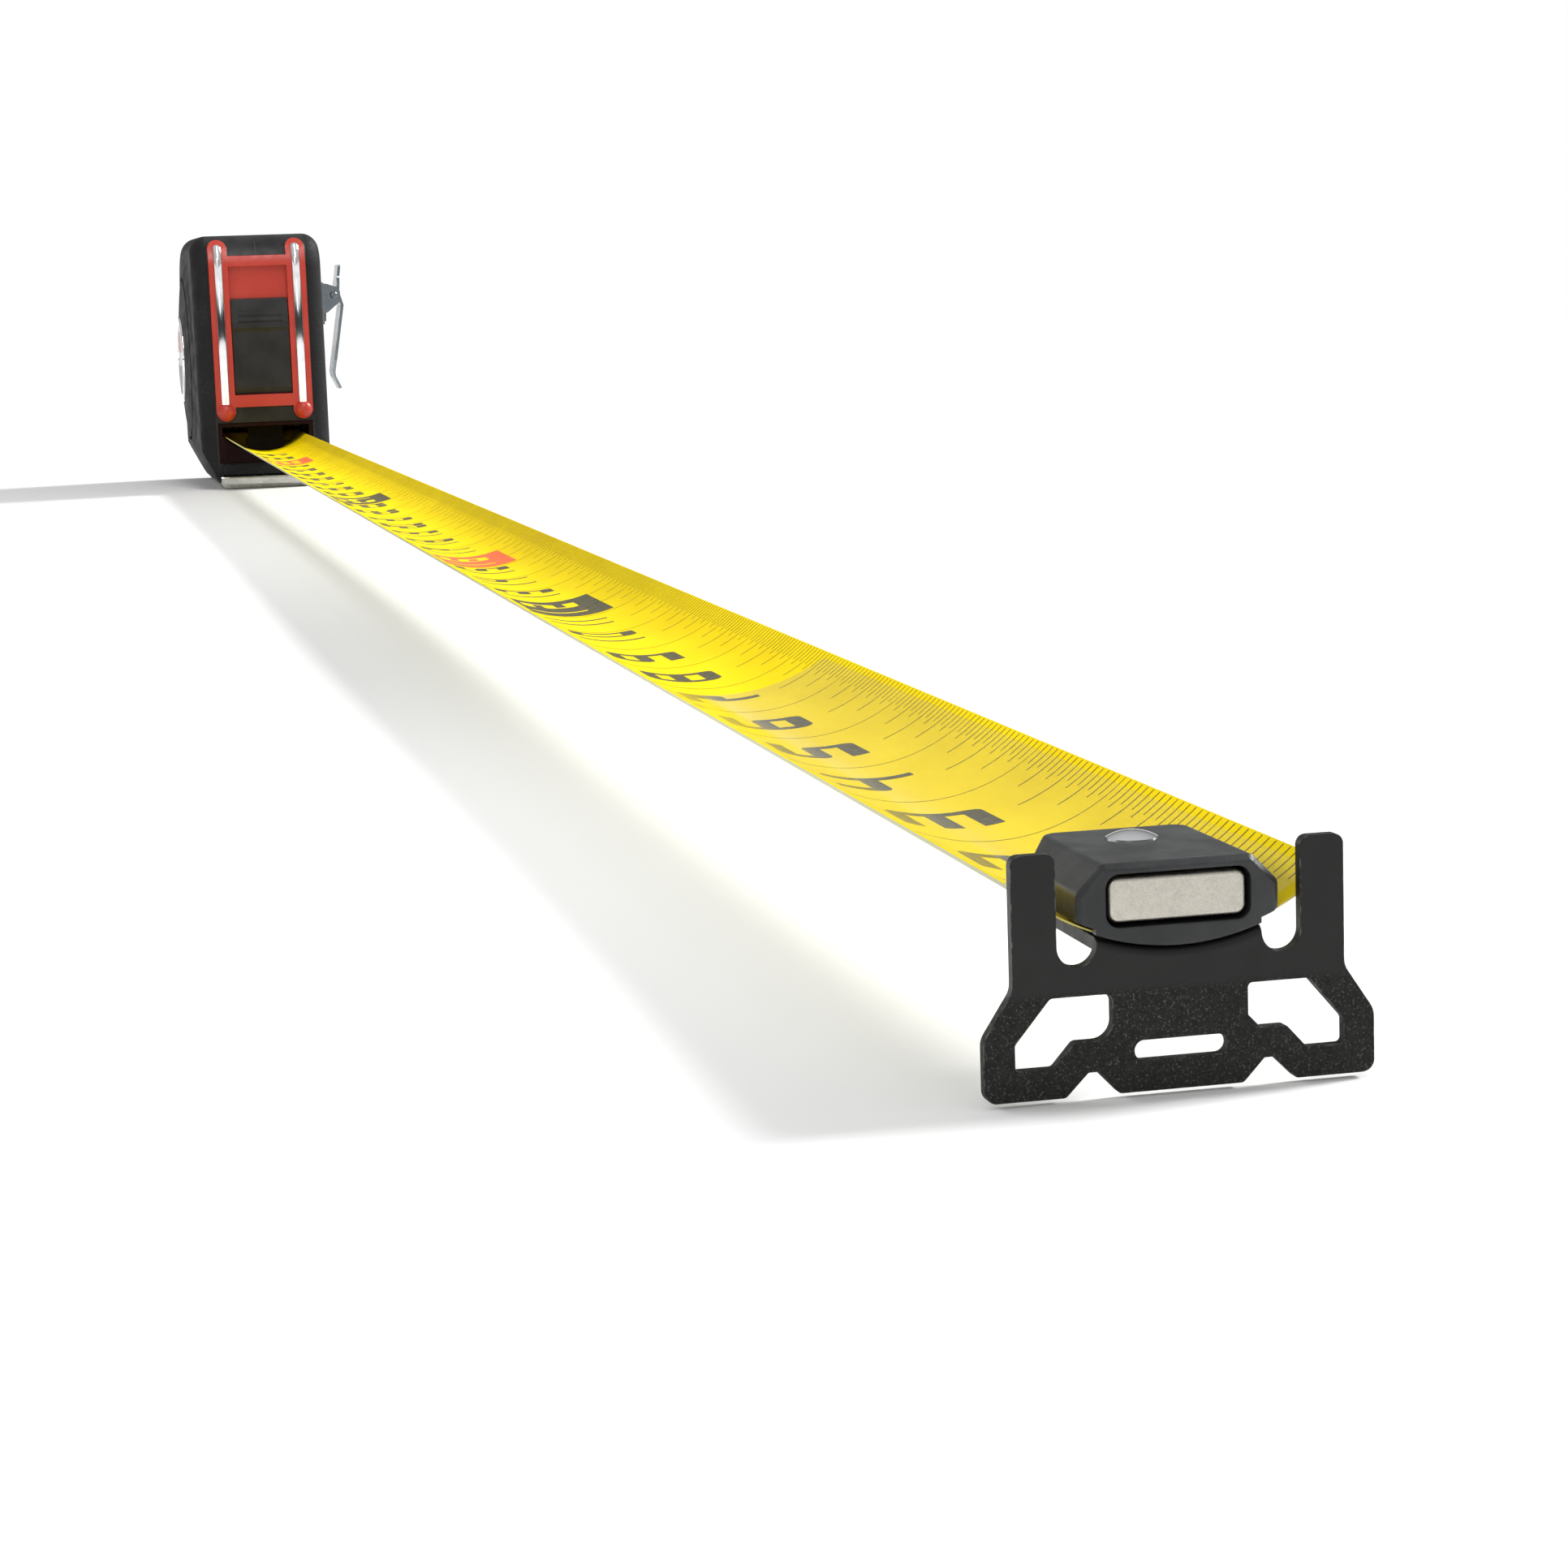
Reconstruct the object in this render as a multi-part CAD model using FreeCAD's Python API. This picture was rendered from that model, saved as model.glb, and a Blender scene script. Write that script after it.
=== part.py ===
import FreeCAD, Part
import math
import os

# Pocket tape measure, standing on its foot with the blade run out and locked.
# Millimetres. +Z is up, the case's front faces -Y, the blade runs out along -Y,
# and X crosses the case. The origin is the centre of the foot's flat underside.

V = FreeCAD.Vector
X_AXIS = V(1, 0, 0)
Y_AXIS = V(0, 1, 0)
Z_AXIS = V(0, 0, 1)

# ---------------------------------------------------------------- driving sizes

# Case
case_depth = 85.0            # front to back, along Y
case_bottom = 2.0            # underside of the plastic, above the foot's face
case_top = 82.0
case_half = 23.8             # half thickness at the middle of the domed sides
dome_radius = 200.0
dome_y = 2.0
dome_z = 42.0
rim_half = 21.0              # half thickness around the domes
edge_round = 5.5             # rounding of the sides' rim
bevel_half = 15.6            # half thickness at the underside, where the sides lean in
bevel_slope = 0.486          # how far the sides lean out for each millimetre up
bevel_height = 28.0
front_bottom_r = 4.6
front_top_r = 11.0
back_top_r = 30.0
back_bottom_r = 16.0
grip_skin = 2.0              # rubber overmould
shell_wall = 2.0             # rigid shell under it
band_half = 16.0             # half width of the bare strip between the two grips

# Foot
foot_half = 15.2
foot_thick = 2.0
foot_round = 2.6             # rounding along its two lower edges
foot_back = 24.0
nose_height = 4.6
nose_proud = 0.4             # in front of the case

# Blade: 28.6 mm strip rolled to a trough
blade_flat = 28.6
blade_radius = 19.0          # of the printed face
blade_thick = 0.2
blade_edge_z = 17.1          # height of the trough's two edges
blade_out = 886.5            # from the case's front to the hook's front face
total_length = 7620.0        # whole blade, 25 ft
coated_thick = 0.15          # one wound layer
film_length = 170.0
film_thick = 0.06
film_end_r = 19.0

# Reel
hub_radius = 21.0
hub_wall = 1.5
reel_half = 15.3             # half width between the two flanges
flange_radius = 29.8
flange_thick = 1.2
reel_y = 4.0
post_radius = 4.0
bush_gap = 0.05              # radial running clearance on the post
bush_wall = 1.9
coil_gap = 0.4               # between the blade's edges and the wound coil

# Blade's inner end, where it flattens to meet the coil
flatten_start = -20.0
flatten_end = -2.0
tail_end = 8.0

# Front guard
guard_half = 15.6
guard_channel = 9.4          # half width between the two rails
guard_proud = 1.2
guard_depth = 2.2
guard_bottom = 24.6
guard_back = -37.0
guard_floor = 1.0            # floor's face, below the case's surface
rail_top = 80.6
rail_round = 3.0             # rounding of the rails' upper ends
ball_radius = 3.0            # ball at the foot of each rail
ball_lift = 0.6              # of its middle above the guard's lower end
rod_radius = 1.5
rod_x = 12.5
rod_offset = 0.5             # of the rod's axis from the case's surface, at the corner
rod_low = 27.5
rod_bow = 450.0              # radius of the rods' bowed length
rod_bow_z = 49.5             # height where the bow stands out most
rod_turn = 35.0              # degrees the rods turn over the top front corner
bar_low = (26.6, 30.5)
bar_high = (71.9, 75.3)

# Thumb lock
lock_travel = 8.0
slider_half = 9.1
slider_bottom = 30.8
slider_top = 61.5
ridge_z = 52.8
neck_half = 3.9
neck_bottom = 40.0
neck_top = 50.0
slide_gap = 0.3

# Mouth
guide_half = 15.4
guide_bottom = 8.4
guide_top = 21.6
guide_front = -42.1
guide_back = -33.5
mouth_half = 14.1
mouth_roof = 20.3

# Hook, measured down from the blade's edges
hook_thick = 1.0
hook_drop = 16.65
hook_shoulder_half = 15.9
prong_half = 13.47
prong_inner = 9.9
prong_rise = 2.45
notch_drop = 4.85            # bottom of the straight part of the notch beside each prong
tongue_half = 6.7
tongue_length = 17.5
hook_gap = 0.2               # hook's parts to the blade's two faces
hook_float = 1.1
housing_length = 16.0
housing_half = 8.2
housing_rise = 1.3
rivet_back = 11.1            # rivet's axis, behind the hook's front face
rivet_radius = 1.25

# Belt clip
clip_half = 8.8
clip_thick = 0.9
clip_pin_x = 27.6
clip_pin_z = 61.7
clip_pin_r = 1.2
bracket_thick = 1.1
lug_thick = 1.4
bracket_screw_y = 4.2
bracket_screw_z = 55.0

# Fasteners: (y, z) of the four case screws, (x, y) of the four foot screws
screw_places = [(-31.0, 71.0), (29.0, 68.5), (29.0, 8.8), (-24.0, 7.2)]
foot_screw_places = [(-9.0, -26.0), (-9.0, 14.0), (9.0, -26.0), (9.0, 14.0)]
screw_radius = 1.25
screw_head_r = 2.0
screw_head_thick = 1.6
screw_seat = 14.6            # the case screws' heads sit here, across the case
screw_tip = 13.0             # and their tips reach this far into the other half
boss_radius = 3.0

# ---------------------------------------------------------------- worked out

front_y = -case_depth / 2
back_y = case_depth / 2
hook_y = front_y - blade_out
half_angle = blade_flat / 2 / blade_radius    # half the angle the trough spans
blade_chord = 2 * blade_radius * math.sin(half_angle)
sagitta = blade_radius * (1 - math.cos(half_angle))
trough_z = blade_edge_z - sagitta             # lowest line of the printed face
arc_z = trough_z + blade_radius               # axis of the blade's trough
wound_length = total_length - blade_out - (tail_end - front_y)
coil_radius = math.sqrt(hub_radius ** 2 + wound_length * coated_thick / math.pi)
reel_z = blade_edge_z + coil_gap + coil_radius
inner_skin = grip_skin + shell_wall


# ---------------------------------------------------------------- helpers

def box(x0, x1, y0, y1, z0, z1):
    return Part.makeBox(x1 - x0, y1 - y0, z1 - z0, V(x0, y0, z0))


def rod_x_axis(radius, x0, x1, y, z):
    return Part.makeCylinder(radius, x1 - x0, V(x0, y, z), X_AXIS)


def ring_x(inner, outer, x0, x1, y, z):
    return rod_x_axis(outer, x0, x1, y, z).cut(rod_x_axis(inner, x0 - 1, x1 + 1, y, z))


def rod_y_axis(radius, y0, y1, x, z):
    return Part.makeCylinder(radius, y1 - y0, V(x, y0, z), Y_AXIS)


def rod_z_axis(radius, z0, z1, x, y):
    return Part.makeCylinder(radius, z1 - z0, V(x, y, z0), Z_AXIS)


def rounded_wire(corners, place):
    """Closed wire through corners (a, b, radius); place(a, b) gives the 3-D point."""
    count = len(corners)
    trimmed = []
    for i, (a, b, radius) in enumerate(corners):
        here = V(a, b, 0)
        before = V(corners[i - 1][0], corners[i - 1][1], 0)
        after = V(corners[(i + 1) % count][0], corners[(i + 1) % count][1], 0)
        to_before = (before - here).normalize()
        to_after = (after - here).normalize()
        if radius == 0:
            trimmed.append((here, None, here))
            continue
        half = to_before.getAngle(to_after) / 2
        reach = radius / math.tan(half)
        bisector = (to_before + to_after).normalize()
        middle = here + bisector * (radius / math.sin(half) - radius)
        trimmed.append((here + to_before * reach, middle, here + to_after * reach))
    edges = []
    for i, (enter, middle, leave) in enumerate(trimmed):
        if middle is not None:
            arc = Part.Arc(place(enter.x, enter.y), place(middle.x, middle.y), place(leave.x, leave.y))
            edges.append(arc.toShape())
        following = trimmed[(i + 1) % count][0]
        if (following - leave).Length > 1e-6:
            edges.append(Part.makeLine(place(leave.x, leave.y), place(following.x, following.y)))
    return Part.Wire(edges)


def plate_yz(corners, x0, x1):
    face = Part.Face(rounded_wire(corners, lambda a, b: V(x0, a, b)))
    return face.extrude(V(x1 - x0, 0, 0))


def plate_xz(corners, y0, y1):
    face = Part.Face(rounded_wire(corners, lambda a, b: V(a, y0, b)))
    return face.extrude(V(0, y1 - y0, 0))


def plate_xy(corners, z0, z1):
    face = Part.Face(rounded_wire(corners, lambda a, b: V(a, b, z0)))
    return face.extrude(V(0, 0, z1 - z0))


def strip_outline(points, thickness):
    """Corners of a bent strip of even thickness along a line of points."""
    one_side = []
    other_side = []
    for i, (a, b) in enumerate(points):
        here = V(a, b, 0)
        behind = here - V(*points[i - 1], 0) if i > 0 else None
        ahead = V(*points[i + 1], 0) - here if i < len(points) - 1 else None
        first = (behind or ahead).normalize()
        second = (ahead or behind).normalize()
        along = (first + second).normalize()
        normal = V(-along.y, along.x, 0)
        spread = thickness / 2 / max(0.3, along.dot(second))
        one_side.append((here + normal * spread))
        other_side.append((here - normal * spread))
    return [(p.x, p.y, 0) for p in one_side + other_side[::-1]]


def mirror_x(shape):
    return shape.mirror(V(0, 0, 0), X_AXIS)


def edges_where(shape, test):
    return [edge for edge in shape.Edges if test(edge.BoundBox, edge)]


def fuse_all(shapes):
    return shapes[0].multiFuse(shapes[1:]).removeSplitter() if len(shapes) > 1 else shapes[0]


# ---------------------------------------------------------------- case

def case_outline(inset):
    """Side outline of the case, drawn in by inset (out when it is negative)."""
    return [
        (front_y + inset, case_bottom + inset, max(0.8, front_bottom_r - inset)),
        (front_y + inset, case_top - inset, front_top_r - inset),
        (back_y - inset, case_top - inset, back_top_r - inset),
        (back_y - inset, case_bottom + inset, back_bottom_r - inset),
    ]


def dome_cap(side, inset):
    """Shallow round dome that swells each side of the case."""
    half = case_half - inset
    centre = V(side * (half - dome_radius), dome_y, dome_z)
    ball = Part.makeSphere(dome_radius, centre)
    ball.rotate(centre, Z_AXIS, 90)
    swell = case_half - rim_half
    reach = math.sqrt(2 * dome_radius * swell - swell ** 2) + 0.05
    low = rim_half - inset - 1.0
    drum = rod_x_axis(reach, low, case_half + 2, dome_y, dome_z)
    return drum.common(ball) if side > 0 else mirror_x(drum).common(ball)


def case_body(inset):
    """Solid case, drawn in by inset: a round-edged block with a dome on each side."""
    half = rim_half - inset
    body = plate_yz(case_outline(inset), -half, half)
    rounding = edge_round - inset
    if rounding > 0.5:
        rim = edges_where(body, lambda bb, edge: bb.XLength < 0.01)
        body = body.makeFillet(rounding, rim)
    body = body.multiFuse([dome_cap(-1, inset), dome_cap(1, inset)])
    return body.common(leaning_sides(inset))


def leaning_sides(inset):
    """Block whose lower sides lean in towards the foot."""
    half = bevel_half - inset * math.hypot(1, bevel_slope)
    below = 5.0
    foot = half - bevel_slope * below
    wide = half + bevel_slope * bevel_height
    low = case_bottom - below
    high = case_bottom + bevel_height
    corners = [
        (-foot, low, 0), (foot, low, 0), (wide, high, 0), (wide, case_top + below, 0),
        (-wide, case_top + below, 0), (-wide, high, 0),
    ]
    return plate_xz(corners, front_y - below, back_y + below)


def guard_view():
    """Front view of the guard as a block: two round-topped rails, balls, and the middle."""
    near = front_y - 5
    blocks = [box(-guard_channel, guard_channel, near, guard_back, bar_low[0], bar_high[1])]
    for side in (-1, 1):
        corners = [
            (guard_channel, guard_bottom, 0), (guard_half, guard_bottom, 0),
            (guard_half, rail_top, rail_round), (guard_channel, rail_top, rail_round),
        ]
        rail = plate_xz(corners, near, guard_back)
        blocks.append(rail if side > 0 else mirror_x(rail))
        blocks.append(rod_y_axis(ball_radius, near, guard_back, side * rod_x, guard_bottom + ball_lift))
    return fuse_all(blocks)


def guard_skin(outset):
    """Skin that wraps the case's front and its top front corner, where the guard lies."""
    reach = guard_half + 1
    skin = plate_yz(case_outline(-outset), -reach, reach)
    skin = skin.cut(plate_yz(case_outline(guard_depth), -reach - 1, reach + 1))
    return skin.common(guard_view())


outer_body = case_body(0)
skin_body = case_body(grip_skin)
cavity = case_body(inner_skin)

mouth_cut = box(-guide_half, guide_half, front_y - 5, guide_back, guide_bottom, guide_top)
guard_pocket = guard_skin(2)
neck_slot = box(-neck_half - slide_gap, neck_half + slide_gap, front_y - 3, front_y + inner_skin + 1,
                neck_bottom - slide_gap, neck_top + lock_travel + slide_gap)
nose_pocket = box(-foot_half - 0.1, foot_half + 0.1, front_y - 3, front_y + 6.0, 0, nose_height + 0.1)
clip_seat_x = case_half - 0.7
bracket_holes = fuse_all([rod_x_axis(screw_radius, 16, 40, side * bracket_screw_y, bracket_screw_z)
                          for side in (-1, 1)])


def make_grip(side):
    """Rubber overmould on one side, with a rim groove and grip ribs at the back."""
    keep = box(band_half, case_half + 2, -60, 60, -5, 95)
    keep = keep if side > 0 else mirror_x(keep)
    grip = outer_body.cut(skin_body).common(keep)
    groove = ring_x(26.0, 27.2, 10, case_half + 2, dome_y, dome_z)
    groove = groove.cut(dome_cap(1, 0.7))
    grip = grip.cut(groove if side > 0 else mirror_x(groove))
    for i in range(7):
        angle = math.radians(-24 + 14 * i)
        slot = box(band_half + 1.2, case_half + 2, 43.5, 60, -0.9, 0.9)
        slot.rotate(V(0, 0, 0), X_AXIS, math.degrees(angle))
        slot.translate(V(0, dome_y - 5, dome_z + 1))
        slot = slot.cut(Part.makeSphere(43.6, V(band_half, dome_y - 5, dome_z + 1)))
        grip = grip.cut(slot if side > 0 else mirror_x(slot))
    if side < 0:
        grip = grip.cut(rod_x_axis(14.2, -case_half - 2, -case_half + 1.0, dome_y, dome_z))
    else:
        grip = grip.cut(box(clip_seat_x, case_half + 2, -9.0, 9.0, 51.8, 66.2))
        for y, z in screw_places:
            grip = grip.cut(rod_x_axis(2.6, 10, case_half + 2, y, z))
        grip = grip.cut(bracket_holes)
    return grip.cut(nose_pocket)


def make_shell(side):
    """Rigid half shell, with bosses for the case screws and a seat for the post."""
    band = outer_body.common(box(-band_half, band_half, -60, 60, -5, 95))
    shell = band.fuse(skin_body).cut(cavity)
    inner = cavity.BoundBox.XMax
    bosses = [rod_x_axis(boss_radius, -inner - 0.5, inner + 0.5, y, z) for y, z in screw_places]
    bosses.append(ring_x(0.5, post_radius + 2.2, 18.2, inner + 0.8, reel_y, reel_z))
    bosses.append(ring_x(0.5, post_radius + 2.2, -inner - 0.8, -18.2, reel_y, reel_z))
    shell = shell.multiFuse([boss.common(skin_body) for boss in bosses])
    for cutter in (mouth_cut, guard_pocket, neck_slot, nose_pocket):
        shell = shell.cut(cutter)
    shell = shell.cut(rod_x_axis(post_radius, -18.8, 18.8, reel_y, reel_z))
    for y, z in screw_places:
        shell = shell.cut(rod_x_axis(screw_radius, -screw_tip - 2, case_half, y, z))
        shell = shell.cut(rod_x_axis(screw_head_r + 0.1, screw_seat, case_half, y, z))
    shell = shell.cut(bracket_holes)
    for x, y in foot_screw_places:
        shell = shell.cut(rod_z_axis(screw_radius, 0, 5.6, x, y))
    half = box(0, case_half + 2, -60, 60, -5, 95)
    return shell.common(half if side > 0 else mirror_x(half))


def make_case_screws():
    screws = []
    for y, z in screw_places:
        shank = rod_x_axis(screw_radius, -screw_tip, screw_seat + 0.2, y, z)
        head = rod_x_axis(screw_head_r, screw_seat, screw_seat + screw_head_thick, y, z)
        near = screw_seat + screw_head_thick - 0.6
        cross = box(near, near + 1, y - 1.3, y + 1.3, z - 0.3, z + 0.3)
        cross = cross.fuse(box(near, near + 1, y - 0.3, y + 0.3, z - 1.3, z + 1.3))
        screws.append(shank.fuse(head).cut(cross))
    return Part.makeCompound(screws)


def make_foot():
    """Metal wear plate under the case, with a nose that turns up at the front."""
    nose = front_y - nose_proud
    corners = [
        (nose, 0, 2.0), (nose, nose_height, 1.2), (front_y + 4.0, nose_height, 1.0),
        (front_y + 6.0, foot_thick, 0), (foot_back, foot_thick, 0), (foot_back, 0, 0.8),
    ]
    across = [
        (-foot_half, 0, foot_round), (foot_half, 0, foot_round),
        (foot_half, nose_height, 0.6), (-foot_half, nose_height, 0.6),
    ]
    plate = plate_yz(corners, -foot_half, foot_half).common(plate_xz(across, nose - 1, foot_back + 1))
    for x, y in foot_screw_places:
        plate = plate.cut(rod_z_axis(screw_radius, -1, 3, x, y))
        plate = plate.cut(Part.makeCone(2.6, screw_radius, 1.3, V(x, y, 0)))
    return plate


def make_foot_screws():
    screws = []
    for x, y in foot_screw_places:
        head = Part.makeCone(2.45, screw_radius, 1.2, V(x, y, 0.1))
        shank = rod_z_axis(screw_radius, 0.4, 5.4, x, y)
        slot = box(x - 2, x + 2, y - 0.25, y + 0.25, 0, 0.6)
        screws.append(head.fuse(shank).cut(slot))
    return Part.makeCompound(screws)


def make_rear_foot():
    corners = [(-12.0, 25.5, 1.5), (12.0, 25.5, 1.5), (12.0, 31.5, 1.5), (-12.0, 31.5, 1.5)]
    return plate_xy(corners, 0, case_bottom + 1.6).cut(outer_body)


def make_badge():
    ring = ring_x(11.6, 14.2, -case_half - 0.1, -case_half + 1.0, dome_y, dome_z)
    rim = edges_where(ring, lambda bb, edge: bb.XLength < 0.01 and bb.XMax < -case_half)
    return ring.makeFillet(0.5, rim)


def make_label():
    return rod_x_axis(11.6, -case_half + 0.25, -case_half + 1.0, dome_y, dome_z)


# ---------------------------------------------------------------- front guard and lock

def make_guard():
    """Guard moulding: two rails, two crossbars and the floor the lock slides over."""
    guard = guard_skin(guard_proud)
    channel = box(-guard_channel, guard_channel, front_y - 5, front_y + guard_floor,
                  bar_low[1], bar_high[0])
    guard = guard.cut(channel).cut(neck_slot)
    for side in (-1, 1):
        ball = Part.makeSphere(ball_radius, V(side * rod_x, front_y - 0.2, guard_bottom + ball_lift))
        guard = guard.fuse(ball.cut(plate_yz(case_outline(guard_depth), -20, 20)))
    for side in (-1, 1):
        guard = guard.cut(make_rod(side))
    return guard.removeSplitter()


def make_rod(side):
    """Bowed rod that runs up the case's front and turns over its top front corner."""
    turn = front_top_r + rod_offset
    corner_y = front_y + front_top_r
    corner_z = case_top - front_top_r
    meet = math.asin((corner_z - rod_bow_z) / (rod_bow - turn))
    bow_y = corner_y + (rod_bow - turn) * math.cos(meet)
    foot = math.asin((rod_low - rod_bow_z) / rod_bow)
    last = math.radians(rod_turn)

    def on_bow(angle):
        return V(side * rod_x, bow_y - rod_bow * math.cos(angle), rod_bow_z + rod_bow * math.sin(angle))

    def on_corner(angle):
        return V(side * rod_x, corner_y - turn * math.cos(angle), corner_z + turn * math.sin(angle))

    bow = Part.Arc(on_bow(foot), on_bow(0), on_bow(meet)).toShape()
    corner = Part.Arc(on_corner(meet), on_corner((meet + last) / 2), on_corner(last)).toShape()
    heading = V(0, math.sin(foot), math.cos(foot))
    profile = Part.Wire([Part.makeCircle(rod_radius, on_bow(foot), heading)])
    rod = Part.Wire([bow, corner]).makePipeShell([profile], True, False)
    ends = [Part.makeSphere(rod_radius, on_bow(foot)), Part.makeSphere(rod_radius, on_corner(last))]
    return rod.multiFuse(ends).removeSplitter()


def make_lock_slider():
    """Thumb slider: ridged button, and the neck that reaches into the case."""
    back = front_y + guard_floor - slide_gap
    face = front_y - 0.9
    ridge = front_y - 1.9
    corners = [
        (back, slider_bottom, 0), (back, slider_top, 0), (front_y - 0.1, slider_top, 0.5),
        (ridge, ridge_z + 1.0, 0.6), (ridge, ridge_z - 0.6, 0.5), (face, ridge_z - 2.0, 0.8),
        (face, slider_bottom + 2.0, 1.2), (front_y - 0.2, slider_bottom, 0.4),
    ]
    button = plate_yz(corners, -slider_half, slider_half)
    groove_pitch = 1.9
    for i in range(4):
        groove_z = slider_top - groove_pitch * (i + 1)
        groove_y = front_y - 0.79 - 0.22 * i
        button = button.cut(box(-slider_half + 2, slider_half - 2, front_y - 4, groove_y,
                                groove_z - 0.4, groove_z + 0.4))
    neck = box(-neck_half, neck_half, back - 0.5, front_y + inner_skin + 2.6, neck_bottom, neck_top)
    return button.fuse(neck).removeSplitter()


def make_brake_tongue():
    """Stiff tongue behind the front wall that carries the brake pad."""
    tongue_front = front_y + inner_skin + 0.4
    tongue = box(-5.6, 5.6, tongue_front, tongue_front + 1.6, trough_z + 2.6, neck_top + 3)
    corners = edges_where(tongue, lambda bb, edge: bb.YLength > 1 and bb.ZMin > neck_top)
    tongue = tongue.makeFillet(2.0, corners)
    hole = box(-neck_half, neck_half, tongue_front - 1, tongue_front + 3, neck_bottom, neck_top)
    return tongue.cut(hole)


def make_brake_pad():
    """Rubber pad with a curved sole that follows the blade's trough."""
    pad_front = front_y + inner_skin + 0.3
    pad = box(-6.0, 6.0, pad_front, pad_front + 2.3, trough_z - 1, trough_z + 4.6)
    sole = rod_y_axis(blade_radius - 0.35, pad_front - 1, pad_front + 4, 0, arc_z)
    tongue_front = front_y + inner_skin + 0.4
    seat = box(-5.6, 5.6, tongue_front, tongue_front + 1.6, trough_z + 2.6, trough_z + 9)
    return pad.common(sole).cut(seat)


def make_mouth_guide():
    """Liner that steers the blade through the mouth, with a slot for the brake."""
    guide = box(-guide_half, guide_half, guide_front, guide_back, guide_bottom, guide_top)
    trough = rod_y_axis(blade_radius + blade_thick + 0.5, guide_front - 1, guide_back + 1, 0, arc_z)
    way = trough.common(box(-mouth_half, mouth_half, guide_front - 1, guide_back + 1, 0, mouth_roof))
    behind = front_y + inner_skin
    brake_way = box(-6.4, 6.4, behind - 0.5, behind + 2.9, mouth_roof - 1, guide_top + 1)
    return guide.cut(way).cut(brake_way)


def make_mouth_bumper():
    """Rubber strip on the lower jaw, where the hook lands."""
    half = 14.5
    low = nose_height + 0.3
    high = guide_bottom - 0.3
    corners = [(-half, low, 0.8), (half, low, 0.8), (half, high, 0.8), (-half, high, 0.8)]
    return plate_xz(corners, front_y - 0.9, front_y)


# ---------------------------------------------------------------- reel

def make_reel_drum():
    wall = ring_x(hub_radius - hub_wall, hub_radius, -reel_half, reel_half, reel_y, reel_z)
    bore = post_radius + bush_wall
    web = ring_x(bore, flange_radius, -reel_half - flange_thick, -reel_half, reel_y, reel_z)
    return wall.fuse(web).removeSplitter()


def make_reel_cover():
    bore = post_radius + bush_wall
    cover = ring_x(bore, flange_radius, reel_half, reel_half + flange_thick, reel_y, reel_z)
    for i in range(6):
        angle = math.radians(60 * i)
        window = rod_x_axis(3.0, 14, 18, reel_y + 13 * math.cos(angle), reel_z + 13 * math.sin(angle))
        cover = cover.cut(window)
    return cover


def make_reel_bushes():
    bore = post_radius + bush_gap
    bushes = []
    for low, high in ((-16.9, -14.6), (14.6, 16.9)):
        bushes.append(ring_x(bore, post_radius + bush_wall, low, high, reel_y, reel_z))
    return Part.makeCompound(bushes)


def make_blade_coil():
    return ring_x(hub_radius, coil_radius, -blade_flat / 2, blade_flat / 2, reel_y, reel_z)


def make_reel_post():
    """Fixed post with a slot that holds the spring's inner end."""
    post = rod_x_axis(post_radius, -18.8, 18.8, reel_y, reel_z)
    return post.cut(box(-13, 13, reel_y - 0.4, reel_y + 0.4, reel_z, reel_z + post_radius + 1))


def make_power_spring():
    """Flat spiral spring, drawn as half turns of growing radius."""
    pitch = 1.5
    strip = 0.5
    first_radius = post_radius + strip / 2 + pitch / 4 + 0.1
    turns = []
    last_radius = hub_radius - hub_wall - strip / 2 - pitch / 4 - 0.1
    count = int((last_radius - first_radius) / (pitch / 2)) + 1
    for i in range(count):
        radius = first_radius + i * pitch / 2
        centre_y = reel_y + (pitch / 4 if i % 2 == 0 else -pitch / 4)
        turn = ring_x(radius - strip / 2, radius + strip / 2, -12, 12, centre_y, reel_z)
        above = i % 2 == 0
        low = reel_z if above else reel_z - 40
        turns.append(turn.common(box(-13, 13, reel_y - 40, reel_y + 40, low, low + 40)))
    inner_end = box(-12, 12, reel_y - 0.3, reel_y + 0.3, reel_z + 1.5, reel_z + first_radius)
    return fuse_all(turns + [inner_end])


# ---------------------------------------------------------------- blade

def trough_wire(y, radius, thickness, half, centre_z):
    """Closed section of a rolled strip at y; half is half the angle that it spans."""

    def point(angle, r):
        return V(r * math.sin(angle), y, centre_z - r * math.cos(angle))

    def arc(start, finish, r):
        return Part.Arc(point(start, r), point(0, r), point(finish, r)).toShape()

    under = radius + thickness
    right = Part.makeLine(point(half, radius), point(half, under))
    left = Part.makeLine(point(-half, under), point(-half, radius))
    return Part.Wire([arc(-half, half, radius), right, arc(half, -half, under), left])


def blade_wire(y, radius):
    """Blade's section at y where it is rolled to this radius, with its edges at one height."""
    half = blade_flat / 2 / radius
    return trough_wire(y, radius, blade_thick, half, blade_edge_z + radius * math.cos(half))


def make_blade():
    """Blade: rolled length, the stretch that flattens, and the flat tail."""
    start = hook_y + hook_thick + 0.15
    rolled = Part.Face(blade_wire(start, blade_radius))
    rolled = rolled.extrude(V(0, flatten_start - start, 0))
    sections = []
    steps = 5
    for i in range(steps + 1):
        share = i / steps
        ease = share * share * (3 - 2 * share)
        curvature = (1 - ease) / blade_radius + ease / 600.0
        y = flatten_start + (flatten_end - flatten_start) * share
        sections.append(blade_wire(y, 1 / curvature))
    flattening = Part.makeLoft(sections, True, False)
    tail = Part.Face(sections[-1]).extrude(V(0, tail_end - flatten_end, 0))
    blade = rolled.fuse(flattening).fuse(tail)
    corner = 3.0
    for side in (-1, 1):
        clip = box(-corner, corner, -corner, corner, 0, 40)
        clip.rotate(V(0, 0, 0), Z_AXIS, 45)
        clip.translate(V(side * (blade_chord / 2 + 1.2), start - 1.2, 0))
        blade = blade.cut(clip)
    return blade.cut(rivet_slot())


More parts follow.
